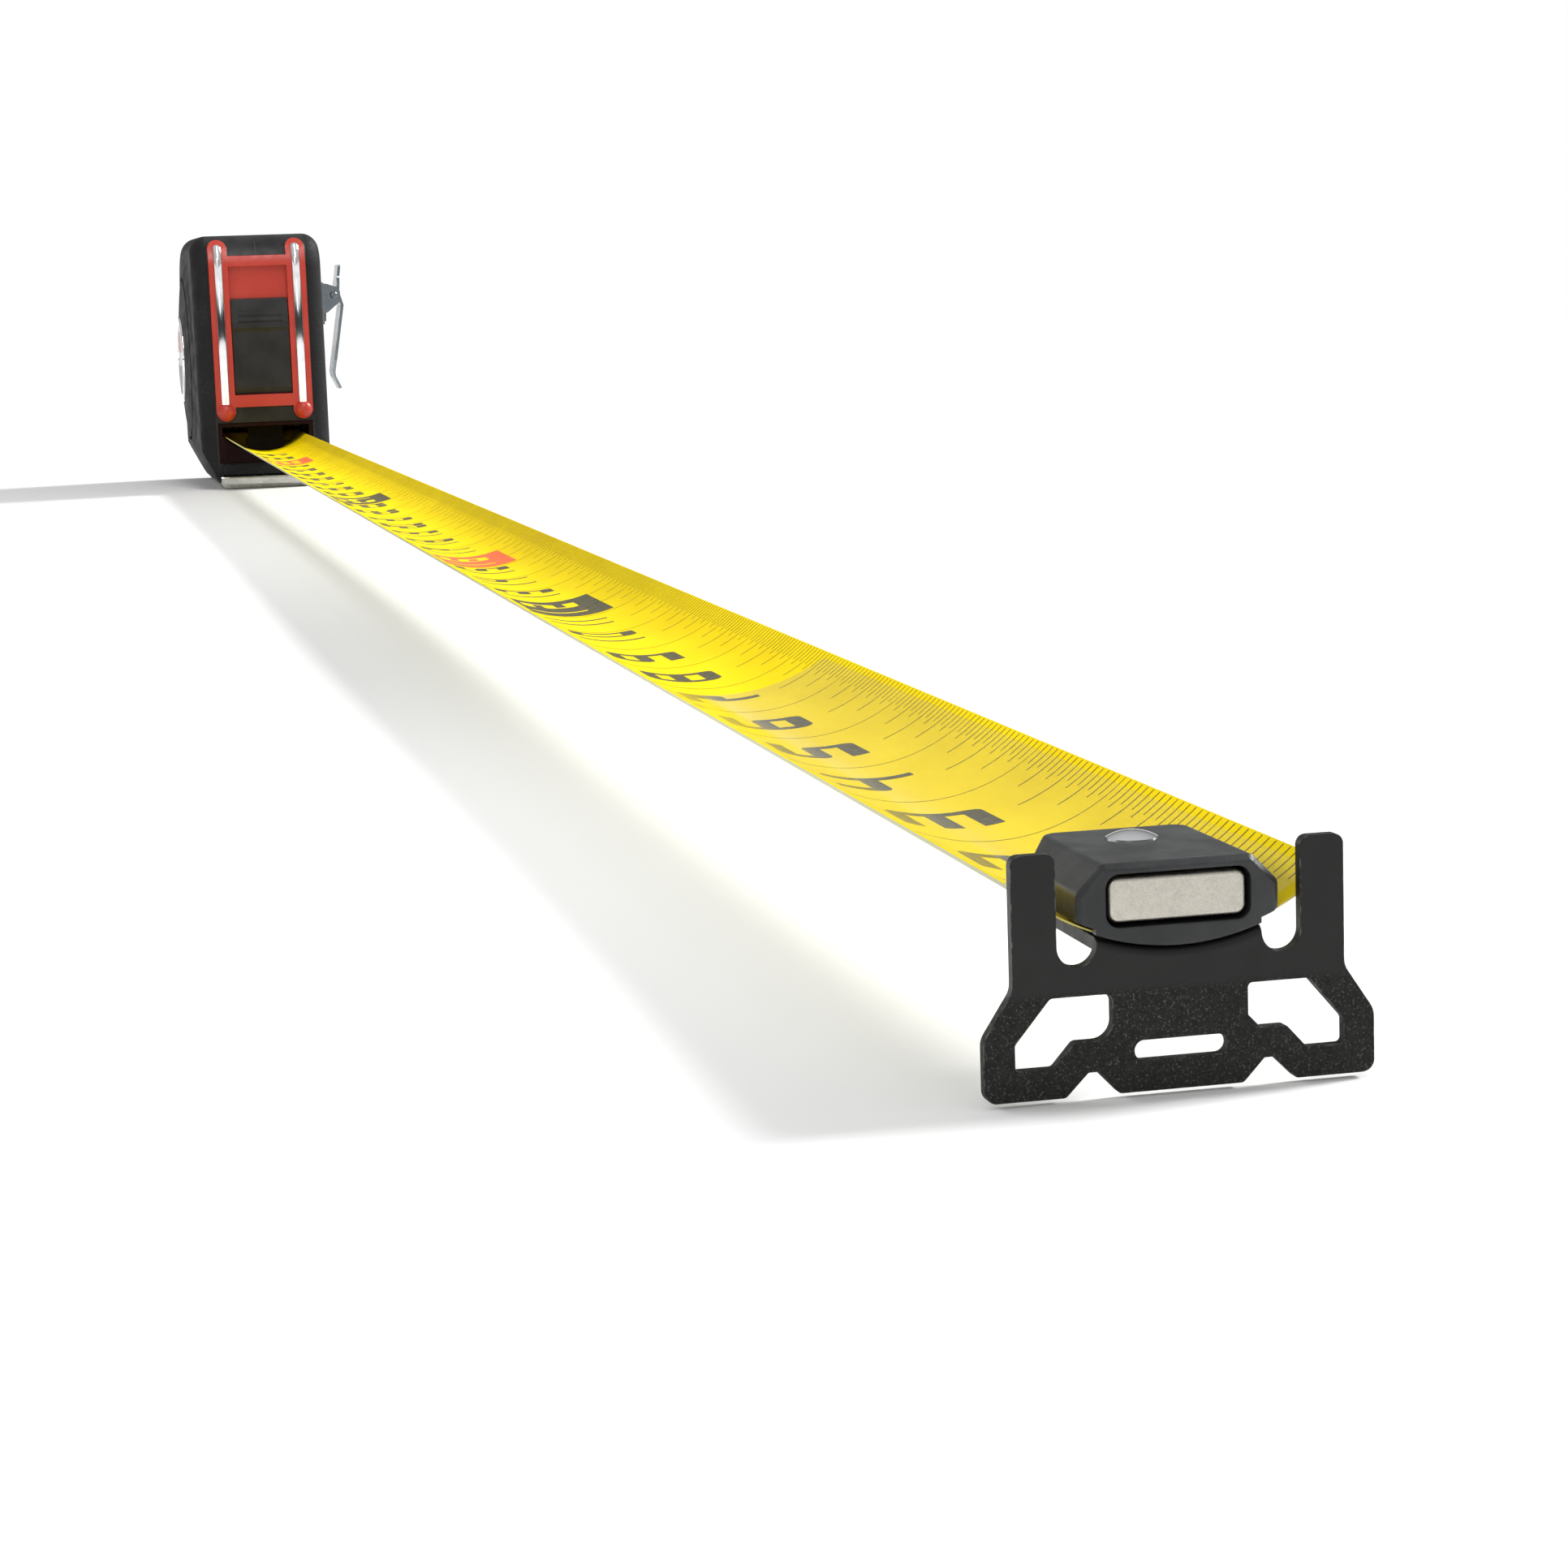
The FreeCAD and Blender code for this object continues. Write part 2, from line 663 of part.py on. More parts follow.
def rivet_slot():
    """Slot that lets the hook's rivet float by the hook's own thickness."""
    width = rivet_radius + 0.2
    y1 = hook_y + rivet_back
    y0 = y1 - hook_float
    slot = box(-width, width, y0, y1, 0, 30)
    return slot.fuse(rod_z_axis(width, 0, 30, 0, y0)).fuse(rod_z_axis(width, 0, 30, 0, y1))


def make_end_film():
    """Clear wear film over the blade's first stretch, with a rounded inner end."""
    start = hook_y + hook_thick + 2.4
    finish = hook_y + film_length
    section = trough_wire(start, blade_radius - film_thick, film_thick, half_angle - 0.06, arc_z)
    film = Part.Face(section).extrude(V(0, finish - start, 0))
    straight = box(-20, 20, start - 1, finish - film_end_r, 0, 30)
    rounded = rod_z_axis(film_end_r, 0, 30, 0, finish - film_end_r)
    return film.common(straight.fuse(rounded)).cut(rivet_slot())


# ---------------------------------------------------------------- hook

def level(drop):
    """Height of a point that lies this far above the blade's edges."""
    return blade_edge_z + drop


def hook_outline():
    half = [
        (5.05, -hook_drop, 0.5), (6.8, -14.8, 0.3), (7.55, -14.8, 0.3), (9.4, -hook_drop, 0.5),
        (hook_shoulder_half, -hook_drop, 1.0), (hook_shoulder_half, -11.7, 1.8),
        (prong_half, -8.0, 1.8), (prong_half, prong_rise, 0.8),
        (prong_inner, prong_rise, 0.8), (prong_inner, -notch_drop, 0),
    ]
    left = [(-x, z, r) for x, z, r in half[::-1]]
    return [(x, level(z), r) for x, z, r in half + left]


def hook_window(side):
    """Window beside the middle web; its lower inner corner is cut or rounded."""
    corners = [
        (5.5, -8.76, 0.4 if side > 0 else 0.7), (10.5, -8.76, 0.5), (13.4, -12.2, 0.5),
        (13.4, -14.25, 0.4), (10.3, -14.25, 0.5), (8.6, -12.35, 0.6),
    ]
    if side > 0:
        corners += [(6.5, -12.35, 0.2), (5.5, -11.3, 0.2)]
    else:
        corners += [(5.5, -12.35, 1.5)]
    placed = [(side * x, level(z), r) for x, z, r in corners]
    return plate_xz(placed if side > 0 else placed[::-1], hook_y - 1, hook_y + hook_thick + 1)


def make_end_hook():
    """Steel hook: face plate with prongs and windows, and a tongue under the blade."""
    tongue_r = blade_radius + blade_thick + hook_gap
    plate = plate_xz(hook_outline(), hook_y, hook_y + hook_thick)
    notch_x = 0.5 * (tongue_half + prong_inner)
    notch_r = 0.5 * (prong_inner - tongue_half)
    for side in (-1, 1):
        plate = plate.cut(hook_window(side))
        notch = rod_y_axis(notch_r, hook_y - 1, hook_y + 2, side * notch_x, level(-notch_drop))
        plate = plate.cut(notch)
    trough = rod_y_axis(tongue_r, hook_y - 1, hook_y + 2, 0, arc_z)
    plate = plate.cut(trough.common(box(-8, 8, hook_y - 1, hook_y + 2, 0, 30)))
    slot = [(-3.8, -14.2, 0.79), (3.8, -14.2, 0.79), (3.8, -12.6, 0.79), (-3.8, -12.6, 0.79)]
    slot = [(x, level(z), r) for x, z, r in slot]
    plate = plate.cut(plate_xz(slot, hook_y - 1, hook_y + 2))
    tongue = rod_y_axis(tongue_r + hook_thick, hook_y, hook_y + tongue_length, 0, arc_z)
    tongue = tongue.cut(rod_y_axis(tongue_r, hook_y - 1, hook_y + tongue_length + 1, 0, arc_z))
    tongue = tongue.common(box(-tongue_half, tongue_half, hook_y, hook_y + tongue_length, 0, arc_z - 5))
    hook = plate.fuse(tongue).removeSplitter()

    def on_bend(bb, edge):
        in_face = bb.YLength < 0.01 and abs(bb.YMin - hook_y) < 0.01
        round_edge = edge.Curve.TypeId == "Part::GeomCircle"
        return in_face and round_edge and abs(edge.Curve.Radius - tongue_r) < 0.01

    bend = edges_where(hook, on_bend)
    hook = hook.makeFillet(0.7, bend)
    return hook.cut(rod_z_axis(rivet_radius, 0, 30, 0, hook_y + rivet_back))


def make_magnet_housing():
    """Moulded block in the blade's trough that holds the magnet."""
    top = level(housing_rise)
    shoulder = level(-0.9)
    flat_half = 6.1
    far = hook_y + housing_length
    cut = 3.0
    corners = [
        (-housing_half, level(-8), 0), (-housing_half, shoulder, 0.7), (-flat_half, top, 0.7),
        (flat_half, top, 0.7), (housing_half, shoulder, 0.7), (housing_half, level(-8), 0),
    ]
    block = plate_xz(corners, hook_y, far)
    block = block.common(rod_y_axis(blade_radius - hook_gap, hook_y - 1, far + 1, 0, arc_z))
    plan = [
        (-housing_half, hook_y, 0), (housing_half, hook_y, 0), (housing_half, far - cut, 1.2),
        (housing_half - cut, far, 1.2), (cut - housing_half, far, 1.2), (-housing_half, far - cut, 1.2),
    ]
    block = block.common(plate_xy(plan, 0, 40))
    front_rim = edges_where(block, lambda bb, edge: bb.YLength < 0.01 and abs(bb.YMin - hook_y) < 0.01
                            and bb.ZMax > level(-3.0))
    block = block.makeChamfer(0.45, front_rim)
    lip = rod_y_axis(blade_radius + hook_gap, hook_y, hook_y + hook_thick, 0, arc_z)
    lip = lip.cut(rod_y_axis(blade_radius - hook_gap - 0.1, hook_y - 1, hook_y + 2, 0, arc_z))
    block = block.fuse(lip.common(box(-tongue_half, tongue_half, hook_y, hook_y + 2, 0, arc_z - 5)))
    pocket = plate_xz(magnet_outline(0.35), hook_y - 1, hook_y + 6.4)
    block = block.cut(pocket)
    rivet = rod_z_axis(rivet_radius, 0, 40, 0, hook_y + rivet_back)
    return block.cut(rivet)


def magnet_outline(margin):
    half = 5.55 + margin
    middle = level(-1.6)
    tall = 1.75 + margin
    radius = 0.8 + margin
    return [
        (-half, middle - tall, radius), (half, middle - tall, radius),
        (half, middle + tall, radius), (-half, middle + tall, radius),
    ]


def make_hook_magnet():
    magnet = plate_xz(magnet_outline(0), hook_y + 0.3, hook_y + 6.4)
    rim = edges_where(magnet, lambda bb, edge: bb.YLength < 0.01 and bb.YMax < hook_y + 0.4)
    return magnet.makeFillet(0.3, rim)


def make_hook_rivet():
    """Rivet with a low domed head on the housing and a peened end under the tongue."""
    y = hook_y + rivet_back
    top = level(housing_rise)
    under = arc_z - blade_radius - blade_thick - hook_gap - hook_thick
    shank = rod_z_axis(rivet_radius, under - 0.3, top + 0.1, 0, y)
    dome_r = 4.2
    head_r = 2.1
    rise = dome_r - math.sqrt(dome_r ** 2 - head_r ** 2)
    dome = Part.makeSphere(dome_r, V(0, y, top + rise + 0.12 - dome_r))
    head = rod_z_axis(head_r, top, top + 3, 0, y).common(dome)
    foot = Part.makeCone(1.7, 2.0, 0.7, V(0, y, under - 0.7))
    return fuse_all([shank, head, foot])


# ---------------------------------------------------------------- belt clip

def make_clip_bracket():
    """Bracket screwed to the case's side, with two lugs for the clip's pin."""
    back = clip_seat_x
    bracket = [box(back, back + bracket_thick, -clip_half, clip_half, 52.0, 66.0)]
    for side in (-1, 1):
        y0 = clip_half - lug_thick if side > 0 else -clip_half
        corners = [
            (back, 55.0, 0), (back + 2.4, 56.0, 1.0), (clip_pin_x + 2.2, clip_pin_z - 2.2, 2.1),
            (clip_pin_x + 2.2, clip_pin_z + 2.2, 2.1), (back + 2.4, 65.4, 1.0), (back, 65.8, 0),
        ]
        bracket.append(plate_xz(corners, y0, y0 + lug_thick))
    bracket = fuse_all(bracket)
    bracket = bracket.cut(rod_y_axis(clip_pin_r, -20, 20, clip_pin_x, clip_pin_z))
    return bracket.cut(bracket_holes)


def make_bracket_screws():
    screws = []
    face = clip_seat_x + bracket_thick
    for y in (-bracket_screw_y, bracket_screw_y):
        shank = rod_x_axis(screw_radius, clip_seat_x - 2.6, face + 0.1, y, bracket_screw_z)
        head = rod_x_axis(2.1, face, face + 0.8, y, bracket_screw_z)
        slot = box(face + 0.4, face + 2, y - 0.25, y + 0.25, bracket_screw_z - 3, bracket_screw_z + 3)
        screws.append(shank.fuse(head).cut(slot))
    return Part.makeCompound(screws)


def make_clip_pin():
    pin = rod_y_axis(clip_pin_r, -clip_half - 0.5, clip_half + 0.5, clip_pin_x, clip_pin_z)
    return pin.makeChamfer(0.25, edges_where(pin, lambda bb, edge: bb.YLength < 0.01))


def make_belt_clip():
    """Spring-steel clip: thumb tab above the pin, leaf below it with a flared tail."""
    barrel_half = clip_half - lug_thick - 0.25
    edge = barrel_half + 1
    line = [
        (30.3, 71.6), (29.6, 66.5), (29.25, 62.5), (30.5, 58.2),
        (26.7, 36.0), (26.9, 34.4), (28.8, 30.4),
    ]
    leaf = plate_xz(strip_outline(line, clip_thick), -barrel_half, barrel_half)
    taper = [(edge, 73, 0), (edge, 65.0, 0), (5.2, 67.5, 2.0), (5.2, 73, 2.0)]
    tail = [(edge, 28, 0), (4.4, 28, 0), (barrel_half, 40.0, 0), (edge, 40.0, 0)]
    for corner in (taper, tail):
        for side in (-1, 1):
            leaf = leaf.cut(plate_yz([(side * y, z, r) for y, z, r in corner], 20, 40))
    gap_half = 2.6
    leaf = leaf.cut(box(28, 32, -gap_half, gap_half, clip_pin_z - 2.5, clip_pin_z + 2.5))
    barrels = []
    for low, high in ((-barrel_half, -gap_half), (gap_half, barrel_half)):
        barrels.append(rod_y_axis(clip_pin_r + 0.75, low, high, clip_pin_x, clip_pin_z))
    clip = fuse_all([leaf] + barrels)
    return clip.cut(rod_y_axis(clip_pin_r + 0.05, -20, 20, clip_pin_x, clip_pin_z))


def make_clip_spring():
    """Torsion spring on the pin, between the clip's two barrels."""
    wire = 0.35
    coil_r = clip_pin_r + 0.15 + wire
    coils = []
    for i in range(4):
        y = -1.65 + 1.1 * i
        coils.append(Part.makeTorus(coil_r, wire, V(clip_pin_x, y, clip_pin_z), Y_AXIS))
    link = rod_y_axis(wire * 0.8, -1.65, 1.65, clip_pin_x - coil_r, clip_pin_z)
    leg_x = clip_seat_x + bracket_thick + wire
    leg = Part.makeCylinder(wire, 6.0, V(leg_x, -1.65, clip_pin_z - 6.2), Z_AXIS)
    return fuse_all(coils + [link, leg])


# ---------------------------------------------------------------- write the pieces

pieces = {
    "left_grip": make_grip(-1),
    "right_grip": make_grip(1),
    "left_shell": make_shell(-1),
    "right_shell": make_shell(1),
    "case_screws": make_case_screws(),
    "foot_plate": make_foot(),
    "foot_screws": make_foot_screws(),
    "rear_foot": make_rear_foot(),
    "side_badge": make_badge(),
    "side_label": make_label(),
    "front_guard": make_guard(),
    "guard_rod_left": make_rod(-1),
    "guard_rod_right": make_rod(1),
    "lock_slider": make_lock_slider(),
    "brake_tongue": make_brake_tongue(),
    "brake_pad": make_brake_pad(),
    "mouth_guide": make_mouth_guide(),
    "mouth_bumper": make_mouth_bumper(),
    "reel_drum": make_reel_drum(),
    "reel_cover": make_reel_cover(),
    "reel_bushes": make_reel_bushes(),
    "reel_post": make_reel_post(),
    "power_spring": make_power_spring(),
    "blade_coil": make_blade_coil(),
    "blade": make_blade(),
    "end_film": make_end_film(),
    "end_hook": make_end_hook(),
    "magnet_housing": make_magnet_housing(),
    "hook_magnet": make_hook_magnet(),
    "hook_rivet": make_hook_rivet(),
    "clip_bracket": make_clip_bracket(),
    "bracket_screws": make_bracket_screws(),
    "clip_pin": make_clip_pin(),
    "belt_clip": make_belt_clip(),
    "clip_spring": make_clip_spring(),
}

os.makedirs("parts", exist_ok=True)
for name, shape in pieces.items():
    shape.exportStep("parts/" + name + ".step")
    solids = len(shape.Solids)
    print(name, "solids", solids, "valid", shape.isValid(), "volume", round(shape.Volume, 1))
print("coil radius", round(coil_radius, 2), "reel z", round(reel_z, 2), "trough z", round(trough_z, 2),
      "arc z", round(arc_z, 2), "hook y", round(hook_y, 2))
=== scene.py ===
import math
import bmesh
import bpy
from mathutils import Matrix, Vector


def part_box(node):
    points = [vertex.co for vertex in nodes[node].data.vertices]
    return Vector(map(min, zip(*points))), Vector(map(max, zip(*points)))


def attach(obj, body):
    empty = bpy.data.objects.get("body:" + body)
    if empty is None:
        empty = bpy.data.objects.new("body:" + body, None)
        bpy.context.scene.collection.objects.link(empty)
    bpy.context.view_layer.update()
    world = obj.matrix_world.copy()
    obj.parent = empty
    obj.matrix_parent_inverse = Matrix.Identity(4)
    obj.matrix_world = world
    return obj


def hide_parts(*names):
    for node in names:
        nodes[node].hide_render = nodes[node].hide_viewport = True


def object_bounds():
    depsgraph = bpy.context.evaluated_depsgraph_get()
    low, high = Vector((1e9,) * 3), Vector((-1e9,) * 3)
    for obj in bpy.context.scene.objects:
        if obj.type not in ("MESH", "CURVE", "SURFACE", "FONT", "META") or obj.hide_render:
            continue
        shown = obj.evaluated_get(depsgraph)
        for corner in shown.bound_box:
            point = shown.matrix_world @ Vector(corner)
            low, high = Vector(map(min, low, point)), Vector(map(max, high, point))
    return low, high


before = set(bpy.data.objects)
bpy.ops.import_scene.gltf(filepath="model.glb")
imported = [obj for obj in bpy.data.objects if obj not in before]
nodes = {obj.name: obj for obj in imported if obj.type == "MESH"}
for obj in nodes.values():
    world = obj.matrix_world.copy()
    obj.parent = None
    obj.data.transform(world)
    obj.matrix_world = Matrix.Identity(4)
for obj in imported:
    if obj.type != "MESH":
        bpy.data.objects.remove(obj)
cad_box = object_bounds()
MM = 0.001
INCH = 25.4 * MM

# ---------------------------------------------------------------- places, from the frame

hook_low, hook_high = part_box("end_hook")
blade_low, blade_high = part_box("blade")
film_low, film_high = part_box("end_film")
label_low, label_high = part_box("side_label")

hook_face = hook_low.y                       # zero of the printed scale
blade_thick = 0.14 * MM
blade_radius = 19.0 * MM                     # of the printed face, across the trough
blade_flat = 28.6 * MM                       # width of the strip along its curve
edge_z = blade_high.z
half_angle = blade_flat / 2 / blade_radius
arc_z = edge_z + blade_radius * math.cos(half_angle)


# ---------------------------------------------------------------- materials

PATCHY = (0.3, 0.7)                          # the part of a noise's range that is used
ALONG_BLADE = (1, 3, 1)                      # draws a noise out along the blade
# Sockets of the Mix node, which share their names
MIX_NUMBERS = (2, 3)
MIX_COLOURS = (6, 7)
MIXED_NUMBER = 0
MIXED_COLOUR = 2


class Finish:
    """A procedural material around one Principled shader. Lengths are in millimetres."""

    def __init__(self, name, colour, roughness, metal=0.0, shine=0.5):
        self.material = bpy.data.materials.new(name)
        self.material.use_nodes = True
        self.nodes = self.material.node_tree.nodes
        self.link = self.material.node_tree.links.new
        self.shader = self.nodes["Principled BSDF"]
        self.set("Base Color", (*colour, 1.0))
        self.set("Roughness", roughness)
        self.set("Metallic", metal)
        self.set("Specular IOR Level", shine)
        self.place = self.nodes.new("ShaderNodeTexCoord").outputs["Object"]
        self.relief = None

    def set(self, socket, value):
        if isinstance(value, bpy.types.NodeSocket):
            self.link(value, self.shader.inputs[socket])
        else:
            self.shader.inputs[socket].default_value = value

    def scaled(self, stretch):
        """Object coordinates in millimetres, each axis divided by its stretch."""
        mapping = self.nodes.new("ShaderNodeMapping")
        mapping.inputs["Scale"].default_value = [1 / (MM * s) for s in stretch]
        self.link(self.place, mapping.inputs["Vector"])
        return mapping.outputs["Vector"]

    def noise(self, size, detail=3.0, stretch=(1, 1, 1)):
        node = self.nodes.new("ShaderNodeTexNoise")
        node.inputs["Scale"].default_value = 1.0
        node.inputs["Detail"].default_value = detail
        self.link(self.scaled([size * s for s in stretch]), node.inputs["Vector"])
        return node.outputs["Fac"]

    def cells(self, size):
        node = self.nodes.new("ShaderNodeTexVoronoi")
        node.inputs["Scale"].default_value = 1.0
        self.link(self.scaled([size] * 3), node.inputs["Vector"])
        return node.outputs["Distance"]

    def axis(self, name):
        node = self.nodes.new("ShaderNodeSeparateXYZ")
        self.link(self.place, node.inputs["Vector"])
        return node.outputs[name]

    def ramp(self, value, low, high, to_low=0.0, to_high=1.0):
        node = self.nodes.new("ShaderNodeMapRange")
        node.interpolation_type = "SMOOTHSTEP"
        self.link(value, node.inputs["Value"])
        limits = {"From Min": low, "From Max": high, "To Min": to_low, "To Max": to_high}
        for socket, number in limits.items():
            node.inputs[socket].default_value = number
        return node.outputs["Result"]

    def drift(self, size, low=0.0, high=1.0, detail=3.0, stretch=(1, 1, 1)):
        """A value that wanders between low and high over patches of this size."""
        return self.ramp(self.noise(size, detail, stretch), *PATCHY, low, high)

    def math(self, operation, *values):
        node = self.nodes.new("ShaderNodeMath")
        node.operation = operation
        for socket, value in zip(node.inputs, values):
            if isinstance(value, bpy.types.NodeSocket):
                self.link(value, socket)
            else:
                socket.default_value = value
        return node.outputs[0]

    def mix(self, share, first, second):
        node = self.nodes.new("ShaderNodeMix")
        node.data_type = "RGBA"
        self.link(share, node.inputs["Factor"])
        for number, value in zip(MIX_COLOURS, (first, second)):
            if isinstance(value, bpy.types.NodeSocket):
                self.link(value, node.inputs[number])
            else:
                node.inputs[number].default_value = (*value, 1.0)
        return node.outputs[MIXED_COLOUR]

    def bump(self, height, depth):
        """Adds relief of this depth on top of what the material has already."""
        node = self.nodes.new("ShaderNodeBump")
        node.inputs["Distance"].default_value = depth * MM
        self.link(height, node.inputs["Height"])
        if self.relief is not None:
            self.link(self.relief, node.inputs["Normal"])
        self.relief = node.outputs["Normal"]
        self.set("Normal", self.relief)

    def soft_edges(self, radius):
        """Rounds the shading over sharp edges, and returns how near an edge a point is."""
        node = self.nodes.new("ShaderNodeBevel")
        node.samples = 4
        node.inputs["Radius"].default_value = radius * MM
        self.relief = node.outputs["Normal"]
        self.set("Normal", self.relief)
        facing = self.nodes.new("ShaderNodeVectorMath")
        facing.operation = "DOT_PRODUCT"
        self.link(self.relief, facing.inputs[0])
        self.link(self.nodes.new("ShaderNodeNewGeometry").outputs["Normal"], facing.inputs[1])
        return self.ramp(facing.outputs["Value"], 0.995, 0.9)


def moulded(name, colour, lighter, roughness, grain, depth, edge=0.25, shine=0.5):
    """Moulded plastic: spark-eroded grain, faint flow marks, edges rubbed lighter."""
    f = Finish(name, colour, roughness, shine=shine)
    worn = f.soft_edges(edge)
    rubbed = f.math("MULTIPLY", worn, f.ramp(f.noise(1.6), 0.42, 0.62, 0.15, 0.9))
    body = f.mix(f.drift(9.0, high=0.35, detail=4.0), colour, lighter)
    f.set("Base Color", f.mix(f.math("MULTIPLY", rubbed, 0.6), body, lighter))
    f.set("Roughness", f.drift(3.0, roughness - 0.06, roughness + 0.08, detail=5.0))
    f.bump(f.noise(grain, 2.0), depth)
    return f.material


def black_rubber():
    """Overmoulded rubber: pebbled skin, dull, with pale dust in its hollows."""
    dark = (0.008, 0.008, 0.009)
    dusty = (0.028, 0.028, 0.027)
    f = Finish("black_rubber", dark, 0.62, shine=0.22)
    worn = f.soft_edges(0.4)
    pebbles = f.cells(0.75)
    dust = f.math("MULTIPLY", f.ramp(pebbles, 0.45, 0.8), f.ramp(f.noise(11.0, 4.0), 0.45, 0.75))
    body = f.mix(f.math("MULTIPLY", dust, 0.5), dark, dusty)
    rubbed = f.math("MULTIPLY", worn, f.ramp(f.noise(1.3), 0.45, 0.7, 0.0, 0.5))
    f.set("Base Color", f.mix(rubbed, body, dusty))
    f.set("Roughness", f.drift(5.0, 0.54, 0.72, detail=4.0))
    f.bump(pebbles, -0.09)
    f.bump(f.noise(0.22, 2.0), 0.02)
    return f.material


def tarnished(colour):
    return [0.86 * channel for channel in colour]


def polished(name, colour, roughness, brush, scratch):
    """Bright metal with hairline scratches drawn out along the axes in brush."""
    f = Finish(name, colour, roughness, metal=1.0)
    hairs = f.noise(0.25, 4.0, brush)
    clouds = 4.0
    f.set("Base Color", f.mix(f.drift(clouds), colour, tarnished(colour)))
    f.set("Roughness", f.math("ADD", f.drift(clouds, roughness, roughness * 1.3),
                              f.ramp(hairs, 0.4, 0.7, 0.0, roughness * 0.4)))
    f.bump(hairs, scratch)
    return f.material


def yellow_blade():
    """Enamelled strip: even yellow on the printed face, primer grey underneath."""
    yellow = (0.93, 0.72, 0.0012)
    deep = (0.87, 0.66, 0.001)
    primer = (0.56, 0.55, 0.38)
    worn_off = (0.55, 0.42, 0.01)
    f = Finish("yellow_blade", yellow, 0.55, shine=0.06)
    normal = f.nodes.new("ShaderNodeSeparateXYZ")
    f.link(f.nodes["Texture Coordinate"].outputs["Normal"], normal.inputs["Vector"])
    face = f.mix(f.drift(7.0, detail=4.0, stretch=ALONG_BLADE), yellow, deep)
    specks = f.ramp(f.noise(0.35, 2.0), 0.70, 0.78, 0.0, 0.35)
    face = f.mix(specks, face, worn_off)
    f.set("Base Color", f.mix(f.ramp(normal.outputs["Z"], -0.02, 0.02), primer, face))
    f.set("Roughness", f.drift(1.2, 0.5, 0.64, detail=4.0))
    f.bump(f.noise(0.5, 3.0, (1, 2, 1)), 0.005)
    return f.material


def clear_film():
    """Clear glossy film: mirrors at low angles, otherwise lets the print show."""
    f = Finish("clear_film", (1.0, 1.0, 0.98), 0.09, metal=1.0)
    f.set("Roughness", f.drift(6.0, 0.07, 0.14, detail=4.0, stretch=ALONG_BLADE))
    f.bump(f.noise(3.0, 3.0, (1, 4, 1)), 0.01)
    clear = f.nodes.new("ShaderNodeBsdfTransparent")
    mirror = f.nodes.new("ShaderNodeFresnel")
    mirror.inputs["IOR"].default_value = 1.42
    f.link(f.relief, mirror.inputs["Normal"])
    behind = f.nodes.new("ShaderNodeNewGeometry").outputs["Backfacing"]
    strength = 0.8                               # from above; nothing from beneath
    facing = f.math("MULTIPLY_ADD", behind, -strength, strength)
    share = f.math("MULTIPLY", mirror.outputs["Fac"], facing)
    mixed = f.nodes.new("ShaderNodeMixShader")
    f.link(share, mixed.inputs["Fac"])
    f.link(clear.outputs["BSDF"], mixed.inputs[1])
    f.link(f.shader.outputs["BSDF"], mixed.inputs[2])
    f.link(mixed.outputs["Shader"], f.nodes["Material Output"].inputs["Surface"])
    return f.material


def label_print():
    """Glossy printed disc: red above, charcoal below, a pale band between and a pale ring."""
    red = (0.42, 0.016, 0.012)
    charcoal = (0.020, 0.020, 0.022)
    pale = (0.62, 0.62, 0.60)
    smudge = (0.3, 0.3, 0.3)
    seam = 0.05 * MM                             # half the softness of a printed border
    half_band = 2.25 * MM
    ring_inside = 9.45 * MM
    ring_outside = 10.25 * MM
    f = Finish("label_print", red, 0.28)
    across = f.math("SUBTRACT", f.axis("Y"), (label_low.y + label_high.y) / 2)
    up = f.math("SUBTRACT", f.axis("Z"), (label_low.z + label_high.z) / 2)
    squares = f.math("ADD", f.math("MULTIPLY", across, across), f.math("MULTIPLY", up, up))
    out = f.math("SQRT", squares)
    face = f.mix(f.ramp(up, -seam, seam), charcoal, red)
    band = f.ramp(f.math("ABSOLUTE", up), half_band + seam, half_band - seam)
    ring = f.math("MULTIPLY", f.ramp(out, ring_inside - seam, ring_inside + seam),
                  f.ramp(out, ring_outside + seam, ring_outside - seam))
    face = f.mix(f.math("MAXIMUM", band, ring), face, pale)
    f.set("Base Color", f.mix(f.drift(5.0, high=0.12, detail=4.0), face, smudge))
    f.set("Roughness", f.drift(2.0, 0.24, 0.34))
    f.bump(f.noise(0.4), 0.004)
    return f.material


def ink(name, colour):
    """Printing ink: slightly thin in places, so its depth of colour varies."""
    f = Finish(name, colour, 0.5, shine=0.12)
    thin = [min(1.0, channel * 1.6 + 0.02) for channel in colour]
    f.set("Base Color", f.mix(f.ramp(f.noise(0.6, 4.0), 0.35, 0.75, 0.0, 0.8), colour, thin))
    f.set("Roughness", f.drift(0.8, 0.42, 0.6))
    f.bump(f.noise(0.2), 0.004)
    return f.material


